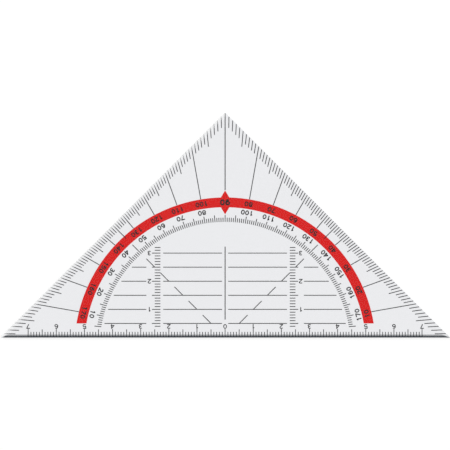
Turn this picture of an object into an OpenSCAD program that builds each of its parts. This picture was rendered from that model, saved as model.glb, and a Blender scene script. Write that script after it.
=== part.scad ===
// Protractor set square: a clear moulded plate with sloped edges, printed on its underside with
// a ruler, two degree scales, parallel guide lines and a red number band.
// The origin is the zero mark on the long edge, at the underside. +X runs along the long edge,
// +Y points to the right-angled corner and +Z is up. Sizes are in millimetres and degrees.

/* [Plate] */
// Length of the long measuring edge
long_edge = 160; // [158:1:200]
// Thickness of the plate
plate_thickness = 2; // [1.6:0.1:3]
// Height of the upright land that is left under each slope
edge_land = 0.8; // [0.4:0.1:1.2]
// Width of the slope along the long edge, seen from above
long_slope = 1.3; // [0.8:0.1:2]
// Width of the slopes along the two short edges, seen from above
leg_slope = 1.4; // [0.8:0.1:2]

/* [Print] */
// Depth of the charcoal marks in the underside
ink_depth = 0.06; // [0.05:0.01:0.2]
// Depth of the red band, which lies under the charcoal marks that cross it
band_depth = 0.03; // [0.02:0.01:0.04]
// Width of a ruler tick
ruler_tick_width = 0.26; // [0.12:0.01:0.28]
// Width of a tick of the arc or of a side scale
arc_tick_width = 0.28; // [0.12:0.01:0.3]
// Width of a degree tick on a short edge
leg_tick_width = 0.28; // [0.12:0.01:0.3]
// Width of a long ray or of a 45 degree dash
ray_width = 0.29; // [0.12:0.01:0.33]
// Width of a parallel line
parallel_line_width = 0.27; // [0.12:0.01:0.32]
// Width of the centre line, which is the heaviest
centre_line_width = 0.32; // [0.12:0.01:0.4]
// Distance that the marks keep from the outline
print_margin = 0.12; // [0.11:0.01:0.15]

/* [Ruler] */
// Length of a one-millimetre tick
short_tick = 2; // [1:0.1:2.2]
// Length of a five-millimetre tick
middle_tick = 2.9; // [2.3:0.1:2.9]
// Length of a ten-millimetre tick
long_tick = 3.05; // [2.9:0.05:3.05]

/* [Degree scales] */
// Depth of a one-degree tick, square to the short edge
leg_short_tick = 2.96; // [2:0.01:3.5]
// Depth of a five-degree tick, square to the short edge
leg_long_tick = 4.42; // [3.6:0.01:4.42]
// Radius on which the arc ticks stand
arc_radius = 44.6; // [44.3:0.1:44.7]
// Length of a one-degree tick on the arc
arc_short_tick = 1.5; // [1:0.1:2]
// Length of a five-degree tick on the arc
arc_long_tick = 2.45; // [2.1:0.05:2.5]

/* [Red band] */
// Outer radius of the band
band_radius = 53.55; // [53.4:0.05:53.7]
// Width of the band
band_width = 3.5; // [3.2:0.1:3.6]
// Height above the long edge at which the band's ends are cut
band_foot = 5; // [4.5:0.1:6]
// Half the width of the diamond pointer in the middle of the band
pointer_reach = 2.55; // [2.4:0.05:2.8]

/* [Guide lines] */
// Nearest point of a parallel line to the centre line
line_start = 1.1; // [0.8:0.1:1.5]
// Gap between the outer end of a parallel line and the arc ticks
line_arc_gap = 0.9; // [0.5:0.1:1.5]
// Reach of each 45 degree dash, across, from the line that it stands on
dash_reach = 3; // [2:0.1:3]
// Lower end of the centre line
centre_line_foot = 6.4; // [6:0.1:8]
// Upper end of the centre line
centre_line_top = 32.3; // [31:0.1:34]

/* [Numbers] */
// Height of the ruler numbers
ruler_number_height = 1.65; // [1.2:0.05:1.65]
// Height of the numbers on the red band
band_number_height = 1.75; // [1.4:0.05:1.9]
// Height of the numbers round the arc
arc_number_height = 1.75; // [1.4:0.05:1.8]
// Height of the right-angle number in the pointer
pointer_number_height = 2.2; // [1.6:0.05:2.3]
// Height of the side-scale numbers
side_number_height = 1.65; // [1.4:0.05:1.8]
// Width of the pen for the degree numbers, as a share of their height
degree_pen = 0.21; // [0.1:0.01:0.22]
// Width of the pen for the right-angle number, as a share of its height
pointer_pen = 0.24; // [0.1:0.01:0.25]
// Width of the pen for the centimetre numbers, as a share of their height
centimetre_pen = 0.18; // [0.1:0.01:0.2]
// Width of a digit, as a share of its height
digit_width = 0.78; // [0.7:0.01:0.8]
// Gap between digits, as a share of their height
digit_gap = 0.08; // [0.06:0.01:0.2]

/* [Hidden] */
$fn = 180;

clear_plastic = [0.9, 0.92, 0.94, 0.45];
charcoal = [0.2, 0.2, 0.22];
red = [0.85, 0.19, 0.17];

// The apex stands over the middle of the long edge, so the short edges meet at a right angle
leg_height = long_edge / 2;

// The ruler keeps this much clear at each end, and stops at a whole centimetre
ruler_end_gap = 8;
ruler_reach = 10 * floor((leg_height - ruler_end_gap) / 10);
ruler_number_y = 3.94;

// The arc's centre lies below the zero mark, and so does the band's
arc_drop = 3.5;
arc_first_degree = 5;
half_right_tick_end = 46.6;

// Both rows of degree numbers stand square to the band
band_drop = 3.75;
arc_number_radius = 48.7;
band_number_radius = band_radius - band_width / 2;
half_right_ray_start = 49.8;

// First degree of the ticks on each short edge, which has 89 of them
right_first_degree = 1;
left_first_degree = 91;
leg_degrees = 89;

// The diamond reaches past the band on both sides
pointer_top = 52.3;
pointer_bottom = 43.75;
pointer_middle = (pointer_top + pointer_bottom) / 2;

// The parallel lines leave room for the side scales and their numbers
line_step = 5;
top_line = 30;
line_stop = 22;
line_restart = 28;
side_scale_x = 23;
side_short_tick = 2;
side_long_tick = 3;
side_scale_foot = 4;
side_scale_top = 32;
side_number_x = 26.9;

// Clear distance between two marks of different nodes
mark_gap = 0.05;
// How far a cutting tool reaches past the solid that it cuts
overshoot = 1;
// Step of the points along the curves of a number
curve_step = 20;

// Point at an angle and a distance from the zero mark
function polar(angle, distance) = distance * [cos(angle), sin(angle)];

// Distance from the zero mark to the line that runs inside a short edge at a depth
function to_leg(angle, depth) =
    (leg_height - depth * sqrt(2)) / (abs(cos(angle)) + sin(angle));

// Distance from the zero mark to a circle whose centre lies a drop below it
function to_circle(angle, drop, radius) =
    sqrt(pow(radius, 2) - pow(drop * cos(angle), 2)) - drop * sin(angle);

// True where an angle has one of the long rays
function has_ray(angle) = angle % 10 == 0 || angle % 90 == 45;

// Distances along the scales by which some numbers stand beside their rays
function arc_number_shift(a) =
    a == 40 ? -0.7 : a < 40 ? -0.25 : a == 100 || a == 110 ? 0.4 : 0;
function band_number_shift(a) = a < 50 ? -0.4 : a == 110 ? 0.4 : 0;

// Digits of a whole number, from the left
function digits_of(n) = n < 10 ? [n] : concat(digits_of(floor(n / 10)), [n % 10]);

// Vector of length 1, a quarter turn to the left of a direction
function normal_of(direction) = [-direction.y, direction.x] / norm(direction);

// Points along a part of an ellipse
function curve(middle, radii, start, end) =
    let (steps = ceil(abs(end - start) / curve_step))
    [
        for (i = [0:steps])
            let (a = start + (end - start) * i / steps)
                middle + [radii.x * cos(a), radii.y * sin(a)]
    ];

// Straight stroke with square ends
module bar(from, to, width) {
    side = normal_of(to - from) * width / 2;
    polygon([from - side, to - side, to + side, from + side]);
}

// Stroke on a ray from the zero mark
module ray(angle, near, far, width) {
    bar(polar(angle, near), polar(angle, far), width);
}

// Pen stroke round a closed ellipse, whose radii run to the middle of the pen
module pen_ring(middle, radii) {
    difference() {
        polygon(curve(middle, radii + [$pen, $pen] / 2, 0, 360 - curve_step));
        polygon(curve(middle, radii - [$pen, $pen] / 2, 0, 360 - curve_step));
    }
}

// Pen stroke along a path of points, mitred where the path turns
module pen_path(points) {
    last = len(points) - 1;
    normals = [for (i = [0:last - 1]) normal_of(points[i + 1] - points[i])];
    sides = [
        for (i = [0:last])
            let (mitre = normals[max(i - 1, 0)] + normals[min(i, last - 1)])
                mitre * $pen / (mitre * mitre)
    ];
    polygon(concat(
        [for (i = [0:last]) points[i] + sides[i]],
        [for (i = [last:-1:0]) points[i] - sides[i]]
    ));
}

// Digit of height 1, which stands on the X axis and fills the width of a digit
module digit(n) {
    base = $pen / 2;
    top = 1 - $pen / 2;
    middle = digit_width / 2;
    reach = middle - $pen / 2;
    left = middle - reach;
    right = middle + reach;
    // Half heights of the round strokes
    head = 0.18;
    small_bowl = 0.17;
    bowl = 0.24;
    shoulder = 0.4;
    // How much the upper round of a 3 or an 8 stays inside the lower one
    inset = 0.04;
    if (n == 0) {
        pen_ring([middle, 0.5], [reach, 0.5 - base]);
    } else if (n == 1) {
        stem = middle + 0.02;
        flag = [middle - 0.22, 0.71];
        pen_path([[stem, 0], [stem, 1]]);
        pen_path([flag, [stem, top]]);
    } else if (n == 2) {
        pen_path(concat(curve([middle, top - head], [reach, head], 160, -40), [[left, base]]));
        pen_path([[0, base], [digit_width, base]]);
    } else if (n == 3) {
        waist = 0.49;
        notch = [[middle - 0.12, waist]];
        upper = (top - waist) / 2;
        lower = (waist - base) / 2;
        pen_path(concat(curve([middle, top - upper], [reach - inset, upper], 150, -90), notch));
        pen_path(concat(notch, curve([middle, base + lower], [reach, lower], 90, -150)));
    } else if (n == 4) {
        stem = right - 0.09;
        bar_height = 0.3;
        pen_path([[stem, 0], [stem, 1]]);
        pen_path([[left, bar_height], [stem, top]]);
        pen_path([[0, bar_height], [digit_width, bar_height]]);
    } else if (n == 5) {
        stem_foot = 0.45;
        pen_path([[right, top], [left, top], [left, stem_foot]]);
        pen_path(curve([middle, base + bowl], [reach, bowl], 150, -150));
    } else if (n == 6) {
        low = [middle, base + bowl];
        back = curve([middle, top - shoulder], [reach, shoulder], 50, 180);
        pen_path(concat(back, curve(low, [reach, bowl], 180, 370)));
        pen_path(curve(low, [reach, bowl], 0, 170));
    } else if (n == 7) {
        pen_path([[0, top], [digit_width, top]]);
        foot = [left + 0.18, 0.02];
        pen_path([foot, [right, top]]);
    } else if (n == 8) {
        pen_ring([middle, top - small_bowl], [reach - inset, small_bowl]);
        pen_ring([middle, base + bowl], [reach, bowl]);
    } else {
        translate([digit_width, 1]) rotate(180) digit(6);
    }
}

// Number centred on the origin, whose digits are all set at one spacing
module number(n, height) {
    digits = digits_of(n);
    spacing = digit_width + digit_gap;
    scale(height)
        translate([(digit_gap - len(digits) * spacing) / 2, -0.5])
            for (i = [0:len(digits) - 1])
                translate([i * spacing, 0]) digit(digits[i]);
}

// Degree number near a ray, on a circle round the band's centre, with its foot outwards
module degree_number(n, angle, radius, shift, height, pen = degree_pen) {
    place = polar(angle, to_circle(angle, band_drop, radius));
    heading = atan2(place.y + band_drop, place.x);
    translate([0, -band_drop]) rotate(heading) translate([radius, shift])
        rotate(90) number(n, height, $pen = pen);
}

// Centimetre number, which is read from the other side of the long edge
module centimetre_number(n, place, height) {
    translate(place) rotate(180) number(n, height, $pen = centimetre_pen);
}

// The flat figures of the print, one module for each node

module red_band_print() {
    intersection() {
        translate([0, -band_drop]) difference() {
            circle(band_radius);
            circle(band_radius - band_width);
        }
        translate([-leg_height, band_foot]) square([long_edge, leg_height]);
    }
    polygon([
        [0, pointer_bottom], [pointer_reach, pointer_middle],
        [0, pointer_top], [-pointer_reach, pointer_middle]
    ]);
}

module ruler_ticks_print() {
    for (x = [-ruler_reach:ruler_reach]) {
        length = x % 10 == 0 ? long_tick : x % 5 == 0 ? middle_tick : short_tick;
        bar([x, print_margin], [x, length], ruler_tick_width);
    }
}

module ruler_numbers_print() {
    for (x = [-ruler_reach:10:ruler_reach])
        centimetre_number(abs(x) / 10, [x, ruler_number_y], ruler_number_height);
}

module leg_ticks_print(first) {
    for (a = [first:first + leg_degrees - 1]) {
        depth = a % 5 == 0 ? leg_long_tick : leg_short_tick;
        if (!has_ray(a)) ray(a, to_leg(a, depth), to_leg(a, print_margin), leg_tick_width);
    }
}

module ten_degree_rays_print() {
    for (a = [10:10:170])
        if (a != 90)
            ray(a, to_circle(a, band_drop, band_radius) + mark_gap, to_leg(a, print_margin), ray_width);
    for (a = [45, 135]) ray(a, half_right_ray_start, to_leg(a, print_margin), ray_width);
}

module arc_ticks_print() {
    for (a = [arc_first_degree:180 - arc_first_degree]) {
        length = a % 5 == 0 ? arc_long_tick : arc_short_tick;
        end = a % 90 == 45 ? half_right_tick_end : to_circle(a, arc_drop, arc_radius + length);
        ray(a, to_circle(a, arc_drop, arc_radius), end, arc_tick_width);
    }
}

module arc_numbers_print() {
    for (a = [10:10:170])
        if (a != 90)
            degree_number(180 - a, a, arc_number_radius, arc_number_shift(a), arc_number_height);
}

module band_numbers_print() {
    for (a = [10:10:170])
        if (a != 90)
            degree_number(a, a, band_number_radius, band_number_shift(a), band_number_height);
}

module right_angle_number_print() {
    degree_number(90, 90, band_number_radius, 0, pointer_number_height, pointer_pen);
}

module parallel_lines_print() {
    for (y = [line_step:line_step:top_line])
        for (side = [-1, 1]) {
            bar([side * line_start, y], [side * line_stop, y], parallel_line_width);
            end = sqrt(pow(arc_radius - line_arc_gap, 2) - pow(y + arc_drop, 2));
            if (y < top_line)
                bar([side * line_restart, y], [side * end, y], parallel_line_width);
        }
}

module side_scale_print(side) {
    for (y = [side_scale_foot:side_scale_top]) {
        length = y % 5 == 0 ? side_long_tick : side_short_tick;
        bar([side * side_scale_x, y], [side * (side_scale_x + length), y], arc_tick_width);
    }
}

module side_scale_numbers_print() {
    for (y = [10:10:top_line])
        for (side = [-1, 1])
            centimetre_number(y / 10, [side * side_number_x, y], side_number_height);
}

// The dashes lie on the two 45 degree lines, and stop at the lines and ticks that they start from
module diagonal_dashes_print() {
    difference() {
        for (y = [line_step:line_step:top_line - line_step])
            for (side = [-1, 1])
                bar([side, 1] * y, [side, 1] * (y + dash_reach), ray_width);
        parallel_lines_print();
        for (side = [-1, 1]) side_scale_print(side);
    }
}

module centre_line_print() {
    apex = leg_height - centre_line_width / 2 - print_margin * sqrt(2);
    bar([0, centre_line_foot], [0, centre_line_top], centre_line_width);
    bar([0, pointer_top + mark_gap], [0, apex], centre_line_width);
}

// The print as ink: each charcoal mark fills its pocket in the plate, flush with the underside

module charcoal_film() {
    color(charcoal) linear_extrude(ink_depth) children();
}

module charcoal_film_over_band() {
    color(charcoal) translate([0, 0, band_depth]) linear_extrude(ink_depth - band_depth) children();
}

// Room for a mark, cut from below
module pocket(depth) {
    translate([0, 0, -overshoot]) linear_extrude(overshoot + depth) children();
}

// Wedge that slopes one edge of the plate. The edge runs along +X and the plate lies at +Y.
module edge_wedge(length, width) {
    rise = (plate_thickness - edge_land) * overshoot / width;
    translate([-overshoot, 0, 0]) rotate([90, 0, 90]) linear_extrude(length + 2 * overshoot)
        polygon([
            [-overshoot, edge_land - rise],
            [width + overshoot, plate_thickness + rise],
            [-overshoot, plate_thickness + rise]
        ]);
}

module plate_blank() {
    difference() {
        linear_extrude(plate_thickness)
            polygon([[-leg_height, 0], [leg_height, 0], [0, leg_height]]);
        translate([-leg_height, 0, 0]) edge_wedge(long_edge, long_slope);
        translate([leg_height, 0, 0]) rotate(135) edge_wedge(leg_height * sqrt(2), leg_slope);
        translate([0, leg_height, 0]) rotate(225) edge_wedge(leg_height * sqrt(2), leg_slope);
    }
}

module plate() {
    color(clear_plastic) difference() {
        plate_blank();
        pocket(band_depth) red_band_print();
        pocket(ink_depth) {
            ruler_ticks_print();
            ruler_numbers_print();
            leg_ticks_print(right_first_degree);
            leg_ticks_print(left_first_degree);
            ten_degree_rays_print();
            arc_ticks_print();
            arc_numbers_print();
            band_numbers_print();
            right_angle_number_print();
            parallel_lines_print();
            diagonal_dashes_print();
            centre_line_print();
            for (side = [-1, 1]) side_scale_print(side);
            side_scale_numbers_print();
        }
    }
}

module red_band() {
    color(red) linear_extrude(band_depth) red_band_print();
}

module ruler_ticks() charcoal_film() ruler_ticks_print();
module ruler_numbers() charcoal_film() ruler_numbers_print();
module left_leg_ticks() charcoal_film() leg_ticks_print(left_first_degree);
module right_leg_ticks() charcoal_film() leg_ticks_print(right_first_degree);
module arc_ticks() charcoal_film() arc_ticks_print();
module arc_numbers() charcoal_film() arc_numbers_print();
module band_numbers() charcoal_film_over_band() band_numbers_print();
module right_angle_number() charcoal_film_over_band() right_angle_number_print();
module parallel_lines() charcoal_film() parallel_lines_print();
module diagonal_dashes() charcoal_film() diagonal_dashes_print();
module centre_line() charcoal_film() centre_line_print();
module left_side_scale() charcoal_film() side_scale_print(-1);
module right_side_scale() charcoal_film() side_scale_print(1);
module side_scale_numbers() charcoal_film() side_scale_numbers_print();

// The two rays at 45 degrees run on over the red band
module ten_degree_rays() {
    color(charcoal) difference() {
        linear_extrude(ink_depth) ten_degree_rays_print();
        pocket(band_depth) red_band_print();
    }
}

plate();
red_band();
ruler_ticks();
ruler_numbers();
left_leg_ticks();
right_leg_ticks();
ten_degree_rays();
arc_ticks();
arc_numbers();
band_numbers();
right_angle_number();
parallel_lines();
diagonal_dashes();
centre_line();
left_side_scale();
right_side_scale();
side_scale_numbers();
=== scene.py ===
import math

import bmesh
import bpy
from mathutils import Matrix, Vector


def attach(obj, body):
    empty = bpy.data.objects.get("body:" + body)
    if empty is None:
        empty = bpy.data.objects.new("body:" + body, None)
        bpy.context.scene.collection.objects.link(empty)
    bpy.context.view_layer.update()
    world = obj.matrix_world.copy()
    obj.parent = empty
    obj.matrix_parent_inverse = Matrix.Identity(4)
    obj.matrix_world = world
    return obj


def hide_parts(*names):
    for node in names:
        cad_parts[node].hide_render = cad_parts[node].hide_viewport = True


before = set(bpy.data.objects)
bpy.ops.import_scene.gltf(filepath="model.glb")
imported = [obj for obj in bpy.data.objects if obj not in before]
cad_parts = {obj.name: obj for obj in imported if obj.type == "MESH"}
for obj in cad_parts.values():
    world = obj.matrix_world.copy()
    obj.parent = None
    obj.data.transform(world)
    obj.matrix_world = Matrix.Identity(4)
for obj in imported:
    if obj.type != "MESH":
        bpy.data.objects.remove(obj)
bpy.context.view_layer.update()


# Camera
# It looks straight down at the middle of the plate from far away, through a long lens, so that
# the plate keeps its true shape and fills the width of the picture.
MM = 0.001
LENS = 300
SENSOR = 36
PICTURE_WIDTH = 159.94
PICTURE_MIDDLE = (-0.036, 39.99)

scene = bpy.context.scene
camera_data = bpy.data.cameras.new("camera")
camera_data.lens = LENS
camera_data.sensor_width = SENSOR
camera = bpy.data.objects.new("camera", camera_data)
camera.location = Vector((*PICTURE_MIDDLE, PICTURE_WIDTH * LENS / SENSOR)) * MM
scene.collection.objects.link(camera)
scene.camera = camera
scene.view_settings.view_transform = "Standard"


# Light
# A white room with two large soft lamps. The room and the lamps together light a level surface
# at a plain level of 1, at which a colour renders as it is written. The room is white to the eye.
ROOM_SHARE = 0.55
LAMPS = {
    "window_lamp": {"place": (-500, 700, 1100), "size": 1500, "share": 0.29},
    "fill_lamp": {"place": (800, -300, 900), "size": 1100, "share": 0.16},
}


class Wire:
    """An output of a shader node, on which Python's arithmetic adds Math nodes."""

    def __init__(self, recipe, socket):
        self.recipe = recipe
        self.socket = socket

    def at(self, output):
        """Another output of the same node."""
        return Wire(self.recipe, self.socket.node.outputs[output])

    def math(self, operation, *values):
        inputs = dict(enumerate(values))
        return self.recipe.node("ShaderNodeMath", {"operation": operation}, inputs)

    def __add__(self, other):
        return self.math("ADD", self, other)

    def __radd__(self, other):
        return self.math("ADD", other, self)

    def __sub__(self, other):
        return self.math("SUBTRACT", self, other)

    def __rsub__(self, other):
        return self.math("SUBTRACT", other, self)

    def __mul__(self, other):
        return self.math("MULTIPLY", self, other)

    def __rmul__(self, other):
        return self.math("MULTIPLY", other, self)

    def __abs__(self):
        return self.math("ABSOLUTE", self)


class Recipe:
    """The shader nodes of one material, or of the world."""

    def __init__(self, owner):
        owner.use_nodes = True
        self.owner = owner
        self.tree = owner.node_tree
        self.tree.nodes.clear()

    def node(self, kind, settings=None, inputs=None):
        """Adds a node and gives its first output."""
        made = self.tree.nodes.new(kind)
        for name, value in (settings or {}).items():
            setattr(made, name, value)
        for key, value in (inputs or {}).items():
            if isinstance(value, Wire):
                self.tree.links.new(value.socket, made.inputs[key])
            else:
                made.inputs[key].default_value = value
        return Wire(self, made.outputs[0])

    def largest(self, *values):
        most = values[0]
        for value in values[1:]:
            most = most.math("MAXIMUM", most, value)
        return most

    def arrives_as(self, *kinds):
        """1 for a ray of one of these kinds, and 0 for any other."""
        path = self.node("ShaderNodeLightPath")
        return self.largest(*[path.at(f"Is {kind} Ray") for kind in kinds])

    def finish(self, shader, output="ShaderNodeOutputMaterial"):
        made = self.tree.nodes.new(output)
        self.tree.links.new(shader.socket, made.inputs["Surface"])
        return self.owner


world = bpy.data.worlds.new("white_room")
scene.world = world
room = Recipe(world)
white_to_eye = room.arrives_as("Camera", "Transmission", "Glossy")
strength = ROOM_SHARE + white_to_eye * (1 - ROOM_SHARE)
room.finish(
    room.node("ShaderNodeBackground", {}, {"Color": (1, 1, 1, 1), "Strength": strength}),
    "ShaderNodeOutputWorld",
)

for name, lamp in LAMPS.items():
    place = Vector(lamp["place"]) * MM
    data = bpy.data.lights.new(name, "AREA")
    data.shape = "DISK"
    data.size = lamp["size"] * MM
    # The power at which a lamp gives its share of the light on a level surface at the origin
    rim_distance = math.hypot(place.length, data.size / 2)
    data.energy = lamp["share"] * (math.pi * rim_distance) ** 2 * place.length / place.z
    holder = bpy.data.objects.new(name, data)
    holder.location = place
    holder.rotation_euler = (-place).to_track_quat("-Z", "Y").to_euler()
    scene.collection.objects.link(holder)


# Table
# A wide white sheet under the plate. Over half of its brightness is its own, so that it is white
# to the eye and the plate's soft shadow on it stays pale.
TABLE_REACH = 3000
TABLE_DROP = 0.02
TABLE_GLOW = 0.65
TABLE_COLOUR = (0.38, 0.38, 0.38, 1)

table_mesh = bpy.data.meshes.new("table")
table_mesh.from_pydata(
    [
        Vector((x * TABLE_REACH, y * TABLE_REACH, -TABLE_DROP)) * MM
        for x, y in [(-1, -1), (1, -1), (1, 1), (-1, 1)]
    ],
    [],
    [(0, 1, 2, 3)],
)
table = bpy.data.objects.new("table", table_mesh)
scene.collection.objects.link(table)

sheet = Recipe(bpy.data.materials.new("white_table"))
own_light = sheet.arrives_as("Camera", "Transmission", "Glossy") * TABLE_GLOW
glow = sheet.node("ShaderNodeEmission", {}, {"Color": (1, 1, 1, 1), "Strength": own_light})
matt = sheet.node("ShaderNodeBsdfDiffuse", {}, {"Color": TABLE_COLOUR})
paper_white = sheet.node("ShaderNodeAddShader", {}, {0: glow, 1: matt})
table_mesh.materials.append(sheet.finish(paper_white))


# Plate
# One clear hard-plastic moulding, 160 mm long and 2 mm thick. Its three edges slope down to an
# upright land. Where the faces meet it is very slightly rounded, as a mould leaves it.
LONG_EDGE = 160
LEG_HEIGHT = LONG_EDGE / 2
THICKNESS = 2
EDGE_LAND = 0.8
LONG_SLOPE = 1.3
LEG_SLOPE = 1.4
EDGE_ROUND = 0.06
ROUND_STEPS = 3
ROUND_PROFILE = 0.5
# The underside lies a little above the print's own underside, which stands proud of it
UNDERSIDE = 0.02


def triangle(long_inset, leg_inset, height):
    """Corners of the outline, moved in from the long edge and from the two short edges."""
    base = LEG_HEIGHT - leg_inset * math.sqrt(2)
    corners = [(long_inset - base, long_inset), (base - long_inset, long_inset), (0, base)]
    return [Vector((x, y, height)) * MM for x, y in corners]


rings = [
    triangle(0, 0, UNDERSIDE),
    triangle(0, 0, EDGE_LAND),
    triangle(LONG_SLOPE, LEG_SLOPE, THICKNESS),
]
plate_mesh = bpy.data.meshes.new("clear_plate")
shape = bmesh.new()
loops = [[shape.verts.new(corner) for corner in ring] for ring in rings]
shape.faces.new(reversed(loops[0]))
shape.faces.new(loops[-1])
for lower, upper in zip(loops, loops[1:]):
    for i in range(3):
        j = (i + 1) % 3
        shape.faces.new((lower[i], lower[j], upper[j], upper[i]))
bmesh.ops.bevel(
    shape,
    geom=list(shape.edges),
    offset=EDGE_ROUND * MM,
    segments=ROUND_STEPS,
    profile=ROUND_PROFILE,
    affect="EDGES",
)
bmesh.ops.recalc_face_normals(shape, faces=shape.faces)
shape.to_mesh(plate_mesh)
shape.free()
plate = bpy.data.objects.new("clear_plate", plate_mesh)
scene.collection.objects.link(plate)

# The plastic lets light straight through and mirrors by angle, about half as much as when it was
# new. The long slope is painted dark slate towards its foot: painted shade, standing in for how the
# steep slope bends the view aside, with the ruler's ticks just showing through; the painted shade
# fades at its left tip. The left slope has a painted white highlight, a painted sheen. The upright
# land has a trace of this painted shade and painted highlight.
FACE_TINT = (0.924, 0.926, 0.934, 1)
PLASTIC_IOR = 1.49
MIRROR_SHARE = 0.55
# Painted shade: the dark slate painted on the long slope, towards its foot
PAINTED_SHADE_SLATE = (0.001, 0.009, 0.019, 1)
PAINTED_SHADE_TOP = 1.4
PAINTED_SHADE_FOOT = 0.5
PAINTED_SHADE_SHARE = 0.925
PAINTED_SHADE_TIP_START = 0.3
PAINTED_SHADE_TIP_END = 1.0
# Painted highlight: the white sheen painted on the left slope
PAINTED_SHEEN = (0.98, 0.98, 0.98, 1)
PAINTED_SHEEN_SHARE = 0.7
# Painted shade and highlight: how much of them is painted on the upright land
PAINTED_LAND_SHARE = 0.12
BODY_ROUGHNESS = 0.1
BODY_GLOSS = 0.1
# How far a face's normal leans outwards on a slope, and how little it rises on the land
SLOPE_LEAN = (0.3, 0.6)
LAND_RISE = (0.3, 0.1)
# Sockets of a Mix node for colours
MIX_FIRST = 6
MIX_SECOND = 7
MIX_RESULT = 2


def ramp(value, start, end, low=0.0, high=1.0):
    """Goes from low to high while a value goes from start to end, and is held outside them."""
    inputs = {"Value": value, "From Min": start, "From Max": end, "To Min": low, "To Max": high}
    return value.recipe.node("ShaderNodeMapRange", {}, inputs)


def blend(factor, first, second):
    """Mixes two colours."""
    inputs = {"Factor": factor, MIX_FIRST: first, MIX_SECOND: second}
    return factor.recipe.node("ShaderNodeMix", {"data_type": "RGBA"}, inputs).at(MIX_RESULT)


def noise(place, scale, detail, roughness=0.5):
    """A cloudy pattern of values round 0.5, whose scale counts per metre."""
    inputs = {"Vector": place, "Scale": scale, "Detail": detail, "Roughness": roughness}
    return place.recipe.node("ShaderNodeTexNoise", {}, inputs)


clear = Recipe(bpy.data.materials.new("clear_plastic"))
place = clear.node("ShaderNodeTexCoord").at("Object")
split = clear.node("ShaderNodeSeparateXYZ", {}, {0: place})
x, y = split.at("X"), split.at("Y")
surface = clear.node("ShaderNodeNewGeometry")
inside = surface.at("Backfacing")
split = clear.node("ShaderNodeSeparateXYZ", {}, {0: surface.at("Normal")})
facing_x, facing_y, facing_z = split.at("X"), split.at("Y"), split.at("Z")

left_depth = (x - y + LEG_HEIGHT * MM) * math.sqrt(0.5)
# Painted highlight: white painted on the left slope, strongest at the outline
on_left_slope = ramp((facing_y - facing_x) * math.sqrt(0.5), *SLOPE_LEAN)
painted_sheen = on_left_slope * ramp(left_depth, LEG_SLOPE * MM, 0, 0, PAINTED_SHEEN_SHARE)
on_long_slope = ramp(0 - facing_y, *SLOPE_LEAN)
# Painted shade: dark slate painted on the long slope, deepest at its foot and fading at the left
# tip
painted_shade = (
    on_long_slope
    * ramp(y, PAINTED_SHADE_TOP * MM, PAINTED_SHADE_FOOT * MM, 0, PAINTED_SHADE_SHARE)
    * ramp(left_depth, PAINTED_SHADE_TIP_START * MM, PAINTED_SHADE_TIP_END * MM)
)
# Painted shade and highlight: a trace of the slate and the white painted on the upright land
painted_land = ramp(abs(facing_z), *LAND_RISE, 0, PAINTED_LAND_SHARE) * (1 - inside)
# How much of the surface shows the painted shade and painted highlight colours
painted_cover = clear.largest(painted_shade, painted_sheen, painted_land)

# Fine scratches from use, long and thin, run three ways over the plate and break up its gloss,
# which is also worn duller in some places than in others.
SCRATCH_TURNS = (0.4, 1.3, 2.6)
SCRATCH_STRETCH = (40, 2500, 1)
SCRATCH_DETAIL = 2
SCRATCH_BREAKS = 0.6
SCRATCH_EDGE = (0.66, 0.72)
SCRATCH_ROUGHNESS = 0.15
SCRATCH_DEPTH = 0.003
SCRATCH_STRENGTH = 0.1
WORN_SCALE = 60
WORN_DETAIL = 4
WORN_SPREAD = (0.35, 0.75)
WORN_ROUGHNESS = (0.03, 0.09)

scratches = 0
for turn in SCRATCH_TURNS:
    stretched = clear.node(
        "ShaderNodeMapping",
        {},
        {"Vector": place, "Rotation": (0, 0, turn), "Scale": SCRATCH_STRETCH},
    )
    scratches = ramp(noise(stretched, 1, SCRATCH_DETAIL, SCRATCH_BREAKS), *SCRATCH_EDGE) + scratches
worn = noise(place, WORN_SCALE, WORN_DETAIL)
roughness = ramp(worn, *WORN_SPREAD, *WORN_ROUGHNESS) + scratches * SCRATCH_ROUGHNESS
bump = clear.node(
    "ShaderNodeBump",
    {},
    {
        "Strength": SCRATCH_STRENGTH,
        "Distance": SCRATCH_DEPTH * MM,
        "Height": 1 - scratches,
    },
)

# The colours of the painted shade on the long slope and of the painted highlight on the left slope
body = clear.node(
    "ShaderNodeBsdfPrincipled",
    {},
    {
        "Base Color": blend(on_long_slope, PAINTED_SHEEN, PAINTED_SHADE_SLATE),
        "Roughness": roughness + BODY_ROUGHNESS,
        "IOR": PLASTIC_IOR,
        "Specular IOR Level": BODY_GLOSS,
        "Normal": bump,
    },
)
see_through = clear.node("ShaderNodeBsdfTransparent", {}, {"Color": FACE_TINT})
gloss = clear.node(
    "ShaderNodeBsdfGlossy", {}, {"Color": (1, 1, 1, 1), "Roughness": roughness, "Normal": bump}
)
mirror = clear.node("ShaderNodeFresnel", {}, {"IOR": PLASTIC_IOR}) * (1 - inside) * MIRROR_SHARE
pane = clear.node("ShaderNodeMixShader", {}, {0: mirror, 1: see_through, 2: gloss})
plate_mesh.materials.append(
    clear.finish(clear.node("ShaderNodeMixShader", {}, {0: painted_cover, 1: pane, 2: body}))
)

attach(plate, "root")
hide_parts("plate")


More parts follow.
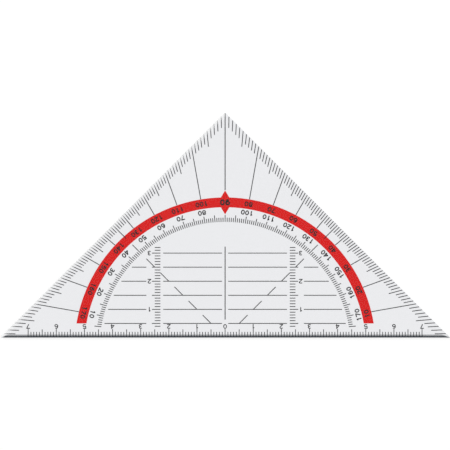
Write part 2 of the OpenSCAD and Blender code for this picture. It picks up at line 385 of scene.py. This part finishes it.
# Charcoal print
# The ruler, the degree scales, the guide lines and all the numbers, screen printed on the
# underside in one dark ink. Each group of marks is a node of the frame.
CHARCOAL_MARKS = (
    "ruler_ticks",
    "ruler_numbers",
    "left_leg_ticks",
    "right_leg_ticks",
    "ten_degree_rays",
    "arc_ticks",
    "arc_numbers",
    "band_numbers",
    "right_angle_number",
    "parallel_lines",
    "diagonal_dashes",
    "centre_line",
    "left_side_scale",
    "right_side_scale",
    "side_scale_numbers",
)
CHARCOAL_THIN = (0.012, 0.012, 0.015, 1)
CHARCOAL_THICK = (0.007, 0.007, 0.009, 1)
CLOUD_SCALE = 900
CLOUD_DETAIL = 3
CLOUD_SPREAD = (0.3, 0.7)
GRAIN_SCALE = 9000
GRAIN_DETAIL = 1
GRAIN_DEPTH = 0.01
GRAIN_STRENGTH = 0.15
INK_ROUGHNESS = (0.45, 0.6)
INK_GLOSS = 0.07


def ink(name, thin, thick):
    """Screen-printed ink that lies a little thicker in some places than in others."""
    recipe = Recipe(bpy.data.materials.new(name))
    place = recipe.node("ShaderNodeTexCoord").at("Object")
    cloud = noise(place, CLOUD_SCALE, CLOUD_DETAIL)
    bump = recipe.node(
        "ShaderNodeBump",
        {},
        {
            "Strength": GRAIN_STRENGTH,
            "Distance": GRAIN_DEPTH * MM,
            "Height": noise(place, GRAIN_SCALE, GRAIN_DETAIL),
        },
    )
    inputs = {
        "Base Color": blend(ramp(cloud, *CLOUD_SPREAD), thin, thick),
        "Roughness": ramp(cloud, *CLOUD_SPREAD, *INK_ROUGHNESS),
        "Normal": bump,
        "Specular IOR Level": INK_GLOSS,
    }
    return recipe.finish(recipe.node("ShaderNodeBsdfPrincipled", {}, inputs))


def print_with(material, names):
    """Gives the CAD's films of ink their material."""
    for name in names:
        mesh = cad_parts[name].data
        mesh.materials.clear()
        mesh.materials.append(material)


print_with(ink("charcoal_ink", CHARCOAL_THIN, CHARCOAL_THICK), CHARCOAL_MARKS)


# Red band
# The band that carries the degree numbers, with its diamond pointer at 90 degrees. It is printed
# after the charcoal ink, so the numbers lie between it and the plate.
RED_THIN = (0.79, 0.002, 0.0005, 1)
RED_THICK = (0.75, 0.001, 0.0002, 1)

print_with(ink("red_ink", RED_THIN, RED_THICK), ("red_band",))
